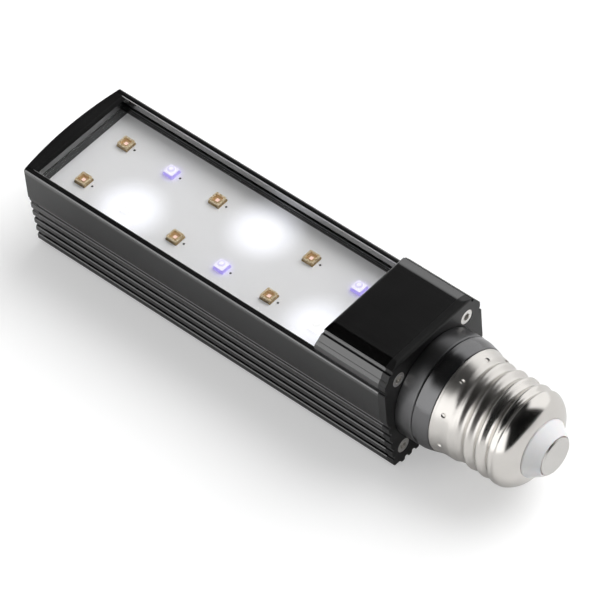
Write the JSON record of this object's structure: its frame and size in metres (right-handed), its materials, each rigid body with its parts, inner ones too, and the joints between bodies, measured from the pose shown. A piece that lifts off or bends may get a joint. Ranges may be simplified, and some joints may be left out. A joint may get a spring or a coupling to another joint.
{
  "type": "reptile uvb lamp",
  "caption": "Flat directional LED lamp on a swivelling screw cap: finned heat sink channel, glass window over UVB, violet and white LEDs, driver cover and round neck.",
  "frame": {"origin": "centre of the centre contact's outer face, on the screw cap's axis", "axes": "+X along the cap's axis, out of the body and towards the lampholder; +Z the way the light shines, square to the window; +Y completes the right-handed set, across the lamp"},
  "size_m": [0.1572, 0.0354, 0.0354],
  "materials": {
    "black_anodised": "satin black anodised",
    "black_moulding": "matt black moulding",
    "spring_steel": "bright spring steel",
    "nickel_shell": "nickel plated sheet",
    "white_insulator": "off-white moulding",
    "contact_metal": "nickel plated",
    "clear_glass": "clear polished",
    "grey_silicone": "soft matt",
    "white_board": "white solder mask on aluminium",
    "green_board": "green solder mask",
    "clear_sheet": "translucent sheet",
    "green_terminal": "moulded",
    "yellow_winding": "tape over a ferrite core",
    "black_sleeve": "shrink sleeve",
    "black_epoxy": "moulded epoxy",
    "blue_resistor": "lacquer",
    "brown_wire": "insulated wire",
    "blue_wire": "insulated wire",
    "red_wire": "insulated wire",
    "black_wire": "insulated wire",
    "gold_ceramic": "gold plated ceramic",
    "white_phosphor": "lit phosphor under a clear lens",
    "violet_lens": "lit violet lens",
    "screw_steel": "bright cross-recess screws"
  },
  "bodies": {
    "lamp_body": {"collar_nut": "black_moulding", "control_chip": "black_epoxy", "driver_board": "green_board", "driver_cover": "black_moulding", "end_plate": "black_anodised", "end_plate_screw_1": "screw_steel", "end_plate_screw_2": "screw_steel", "end_plate_screw_3": "screw_steel", "end_plate_screw_4": "screw_steel", "far_cap_screw_1": "screw_steel", "far_cap_screw_2": "screw_steel", "far_cap_screw_3": "screw_steel", "far_cap_screw_4": "screw_steel", "far_end_cap": "black_anodised", "filter_choke": "black_sleeve", "fuse_resistor": "blue_resistor", "heat_sink_housing": "black_anodised", "input_capacitor": "black_sleeve", "insulating_liner": "clear_sheet", "led_board": "white_board", "led_wire_1": "red_wire", "led_wire_2": "black_wire", "neck_collar": "black_moulding", "output_capacitor": "black_sleeve", "rectifier": "black_epoxy", "terminal_block": "green_terminal", "thermal_pad": "grey_silicone", "transformer": "yellow_winding", "uvb_led_1": "gold_ceramic", "uvb_led_2": "gold_ceramic", "uvb_led_3": "gold_ceramic", "uvb_led_4": "gold_ceramic", "uvb_led_5": "gold_ceramic", "uvb_led_6": "gold_ceramic", "violet_led_1": "violet_lens", "violet_led_2": "violet_lens", "violet_led_3": "violet_lens", "white_led_1": "white_phosphor", "white_led_2": "white_phosphor", "white_led_3": "white_phosphor", "window_glass": "clear_glass"},
    "screw_cap": {"swivel_ring": "black_moulding", "retaining_clip": "spring_steel", "screw_shell": "nickel_shell", "insulator": "white_insulator", "centre_contact": "contact_metal", "live_wire": "brown_wire", "neutral_wire": "blue_wire"}
  },
  "joints": [
    {"name": "cap_swivel", "type": "hinge", "parent": "lamp_body", "child": "screw_cap", "pos_m": [-0.03235, 0, 0], "axis": [1, 0, 0], "range_deg": [-165, 165]}
  ]
}
